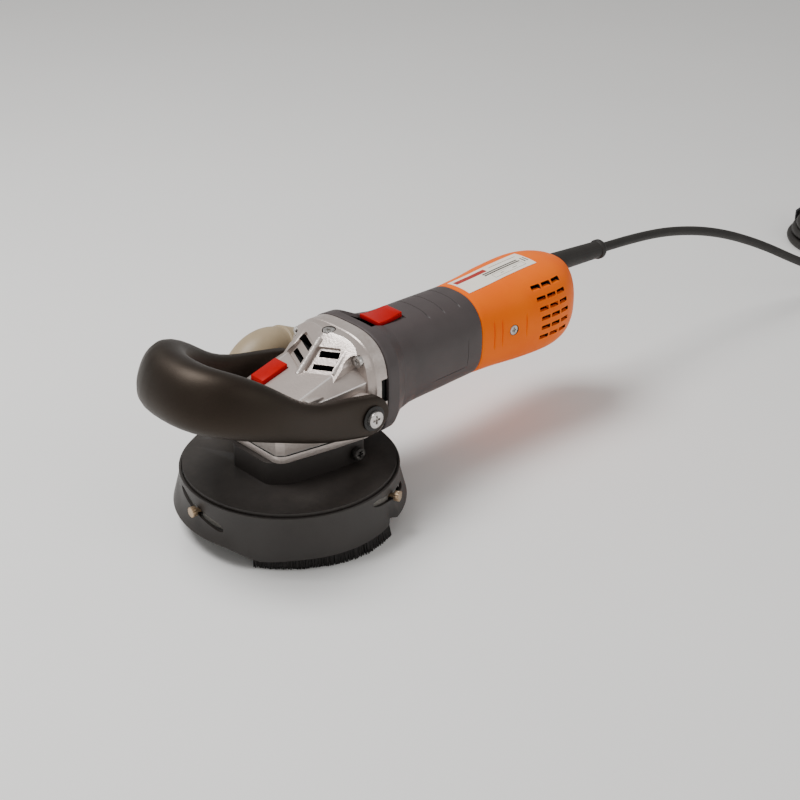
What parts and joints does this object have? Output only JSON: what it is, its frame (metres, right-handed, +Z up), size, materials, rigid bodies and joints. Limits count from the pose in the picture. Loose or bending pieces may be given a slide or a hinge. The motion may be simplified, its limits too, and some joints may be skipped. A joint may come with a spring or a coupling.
{
  "type": "angle grinder",
  "caption": "Concrete angle grinder with a diamond cup wheel, a turn-to-adjust dust hood with brush, a tilting bow handle, a swivelling dust elbow and a mains cord.",
  "frame": {"origin": "on the spindle axis, in the plane of the brush's lower edge, which is the working plane", "axes": "+Z up along the spindle axis, +X along the motor towards the cord, +Y to the side of the dust elbow"},
  "size_m": [0.9573, 0.1795, 0.1581],
  "materials": {
    "orange_plastic": "satin moulded orange plastic",
    "grey_plastic": "fine-grained dark grey nylon",
    "cast_aluminium": "satin die-cast aluminium",
    "screw_steel": "zinc-plated steel",
    "machined_steel": "ground steel",
    "lamination_steel": "varnished sheet steel",
    "copper_wire": "enamelled copper wire",
    "wheel_steel": "painted steel cup",
    "diamond_segment": "sintered metal with diamond",
    "bronze_bush": "sintered bronze",
    "brass_part": "plain brass",
    "spring_steel": "spring steel",
    "carbon": "pressed carbon",
    "red_plastic": "satin red plastic",
    "black_plastic": "black nylon",
    "blue_film": "dipped film capacitor",
    "soft_grip": "soft-touch elastomer",
    "hood_plastic": "fine-grained black nylon",
    "guide_felt": "pressed felt",
    "bristle": "dense black nylon bristle",
    "beige_plastic": "beige moulded plastic",
    "riser_plastic": "black nylon",
    "black_rubber": "moulded rubber",
    "tie_fabric": "woven hook-and-loop strap",
    "label_paper": "cream printed foil"
  },
  "bodies": {
    "base": {"motor_housing": "grey_plastic", "rear_cover": "orange_plastic", "rear_cover_screws": "screw_steel", "rating_label": "label_paper", "stator_core": "lamination_steel", "stator_windings": "copper_wire", "air_baffle": "black_plastic", "brush_holders": "brass_part", "carbon_brushes": "carbon", "brush_springs": "spring_steel", "front_bearing": "machined_steel", "rear_bearing": "machined_steel", "gear_housing": "cast_aluminium", "gear_cover_plate": "cast_aluminium", "gear_cover_screws": "screw_steel", "gear_housing_screws": "screw_steel", "spindle_bearing": "machined_steel", "spindle_top_bush": "bronze_bush", "spindle_seal": "black_rubber", "hood_cup": "hood_plastic", "hood_clamp_band": "screw_steel", "hood_clamp_bolt": "screw_steel", "hood_thumb_screws": "brass_part", "dust_riser": "riser_plastic", "handle_bolts": "screw_steel", "handle_washers": "black_plastic", "switch_body": "black_plastic", "capacitor": "blue_film", "cord_clamp": "black_plastic", "cord_clamp_screws": "screw_steel", "strain_relief": "black_rubber", "mains_cord": "black_rubber", "cord_coil": "black_rubber", "cord_tie": "tie_fabric", "mains_plug": "black_rubber", "plug_pins": "brass_part"},
    "spindle_body": {"spindle": "machined_steel", "spindle_key": "machined_steel", "crown_gear": "machined_steel", "backing_flange": "machined_steel", "cup_wheel": "wheel_steel", "grinding_segments": "diamond_segment", "lock_nut": "machined_steel"},
    "motor_body": {"armature_shaft": "machined_steel", "armature_core": "lamination_steel", "armature_windings": "copper_wire", "commutator": "copper_wire", "cooling_fan": "black_plastic", "pinion": "machined_steel", "pinion_nut": "machined_steel"},
    "lock_body": {"lock_button": "red_plastic", "lock_pin": "machined_steel"},
    "switch_body_slider": {"switch_slider": "red_plastic", "switch_link": "black_plastic"},
    "handle_body": {"bow_handle": "soft_grip"},
    "elbow_body": {"hose_elbow": "beige_plastic"},
    "skirt_carrier": {"skirt_guides": "guide_felt"},
    "skirt_body": {"skirt_ring": "hood_plastic", "brush_ring": "bristle"}
  },
  "joints": [
    {"name": "spindle_spin", "type": "hinge", "parent": "base", "child": "spindle_body", "pos_m": [0, 0, 0.06], "axis": [0, 0, 1], "continuous": true},
    {"name": "motor_spin", "type": "hinge", "parent": "base", "child": "motor_body", "pos_m": [0.11, 0, 0.095], "axis": [1, 0, 0], "continuous": true},
    {"name": "lock_press", "type": "slide", "parent": "base", "child": "lock_body", "axis": [0, 0, -1], "range_m": [0, 0.0025], "stiffness_N_per_m": 900, "springref_m": -0.004},
    {"name": "switch_slide", "type": "slide", "parent": "base", "child": "switch_body_slider", "axis": [-1, 0, 0], "range_m": [0, 0.007]},
    {"name": "handle_tilt", "type": "hinge", "parent": "base", "child": "handle_body", "pos_m": [0.032, 0, 0.089], "axis": [0, 1, 0], "range_deg": [-20, 60]},
    {"name": "elbow_swivel", "type": "hinge", "parent": "base", "child": "elbow_body", "pos_m": [0.019, 0.078, 0.06], "axis": [0, 0, 1], "range_deg": [0, 90]},
    {"name": "skirt_lift", "type": "slide", "parent": "base", "child": "skirt_carrier", "axis": [0, 0, 1], "range_m": [-0.0048, 0.0048]},
    {"name": "skirt_turn", "type": "hinge", "parent": "skirt_carrier", "child": "skirt_body", "pos_m": [0, 0, 0.032], "axis": [0, 0, 1], "range_deg": [-17, 17]}
  ],
  "couplings": [
    {"joint": "motor_spin", "follows": "spindle_spin", "ratio": 3.3333},
    {"joint": "skirt_lift", "follows": "skirt_turn", "m_per_rad": -0.016043}
  ]
}
